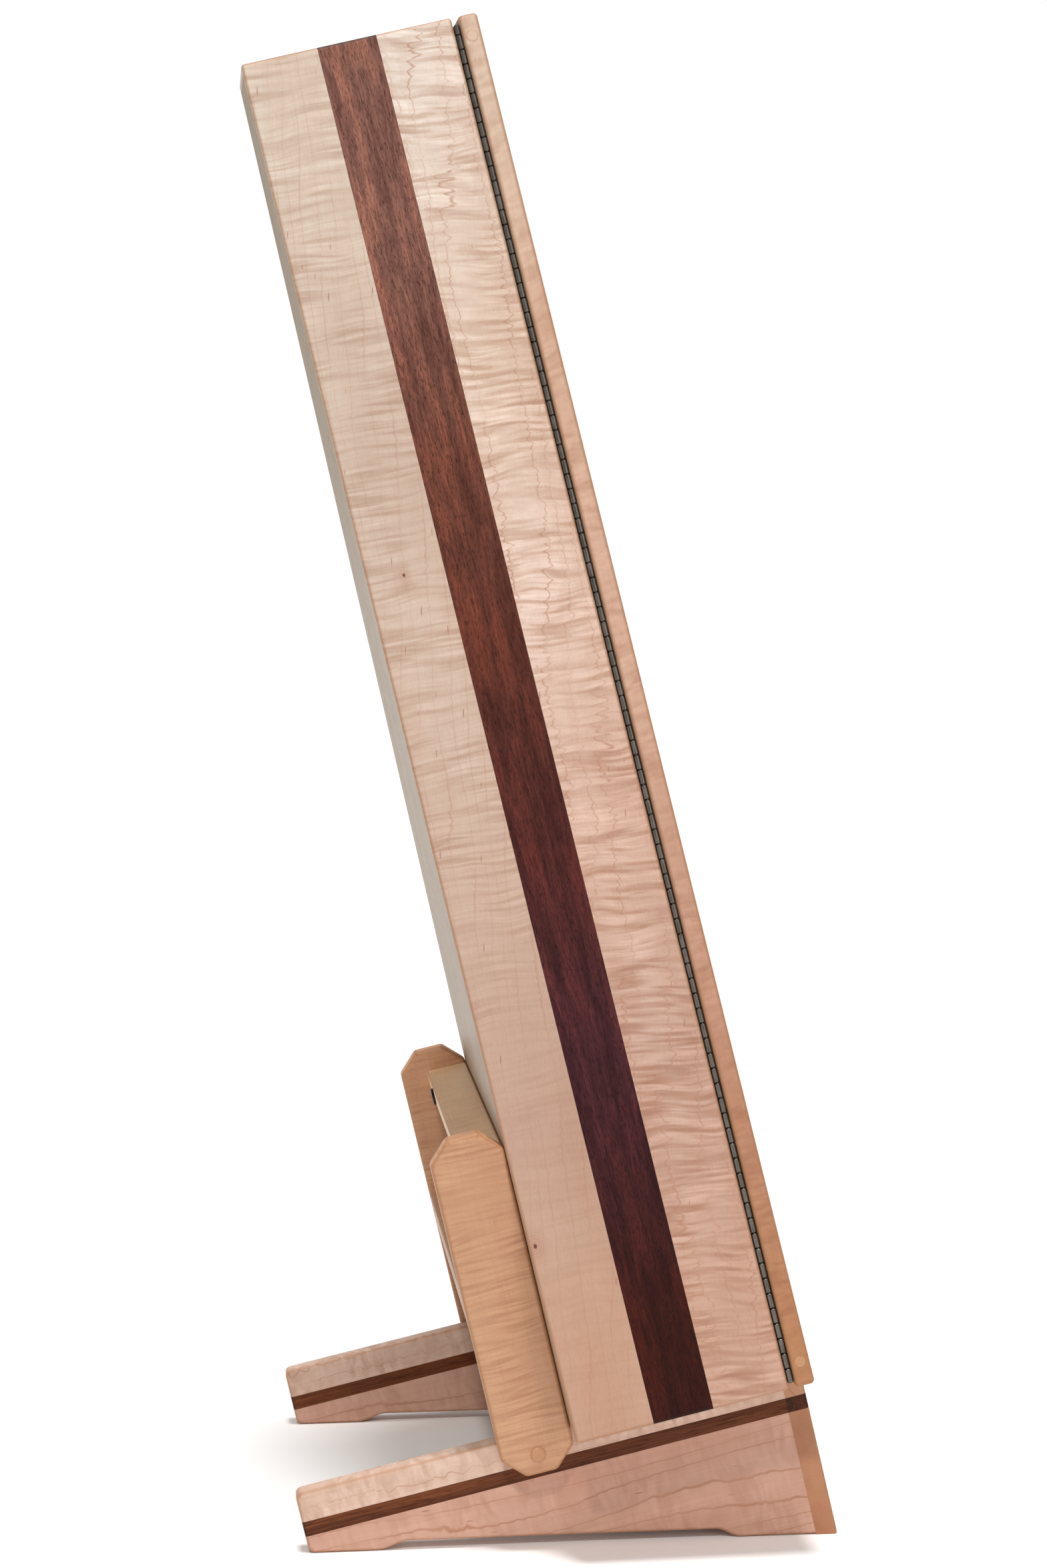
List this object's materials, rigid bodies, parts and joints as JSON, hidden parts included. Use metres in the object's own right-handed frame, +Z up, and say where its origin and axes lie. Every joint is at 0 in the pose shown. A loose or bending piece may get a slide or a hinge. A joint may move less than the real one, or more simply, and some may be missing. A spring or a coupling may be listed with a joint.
{
  "type": "photo album stand",
  "caption": "Tall tapering wooden album case with a glazed, piano-hinged door, leaning back on a low stand with side arms and cross rails.",
  "frame": {"origin": "centre of the bounding box at floor level", "axes": "+X across the stand towards the side away from the door hinge, +Y from the door towards the back, +Z up"},
  "size_m": [0.507, 0.4842, 1.2796],
  "materials": {
    "maple": "satin oil over figured maple",
    "walnut": "satin oil",
    "steel": "bright plated",
    "bronze": "dark bronze plate",
    "brass": "plain",
    "glass": "clear, polished",
    "plastic": "moulded"
  },
  "bodies": {
    "stand": {"apron_lower_board": "maple", "apron_stripe": "walnut", "apron_top_strip": "maple", "foot_left_lower_board": "maple", "foot_left_stripe": "walnut", "foot_left_top_strip": "maple", "foot_right_lower_board": "maple", "foot_right_stripe": "walnut", "foot_right_top_strip": "maple"},
    "arm_frame": {"arm_left": "maple", "arm_right": "maple", "connector_bolt_left": "bronze", "connector_bolt_right": "bronze", "lower_rail": "maple", "pivot_dowel_left": "maple", "pivot_dowel_right": "maple", "upper_rail": "maple"},
    "case": {"back_centre_board": "maple", "back_left_board": "maple", "back_right_board": "maple", "bolt_insert_left": "brass", "bolt_insert_right": "brass", "case_bottom": "maple", "case_top": "maple", "hinge_leaf_case": "steel", "hinge_pin": "steel", "magnet_catch": "plastic", "shelf_1": "maple", "shelf_2": "maple", "shelf_3": "maple", "side_left_back_board": "maple", "side_left_front_board": "maple", "side_left_stripe": "walnut", "side_right_back_board": "maple", "side_right_front_board": "maple", "side_right_stripe": "walnut"},
    "door": {"door_bottom_rail": "maple", "door_knob": "walnut", "door_screw_left_lower": "steel", "door_screw_left_upper": "steel", "door_screw_right_lower": "steel", "door_screw_right_upper": "steel", "door_stile_left": "maple", "door_stile_right": "maple", "door_top_rail": "maple", "glass_bead_left": "walnut", "glass_bead_lower": "walnut", "glass_bead_right": "walnut", "glass_bead_upper": "walnut", "glass_pane": "glass", "hinge_leaf_door": "steel", "knob_screw": "brass", "plug_left_lower": "maple", "plug_left_upper": "maple", "plug_right_lower": "maple", "plug_right_upper": "maple", "strike_plate": "steel"}
  },
  "joints": [
    {"name": "arm_fold", "type": "hinge", "parent": "stand", "child": "arm_frame", "pos_m": [0, 0.01378, 0.08359], "axis": [-1, 0, 0], "range_deg": [0, 67]},
    {"name": "case_slide_off", "type": "slide", "parent": "stand", "child": "case", "axis": [0, -0.9753, 0.2207], "range_m": [0, 0.2]},
    {"name": "door_hinge", "type": "hinge", "parent": "case", "child": "door", "pos_m": [-0.15899, -0.06497, 0.7093], "axis": [-0.1569, -0.218, -0.9633], "range_deg": [0, 110]}
  ]
}
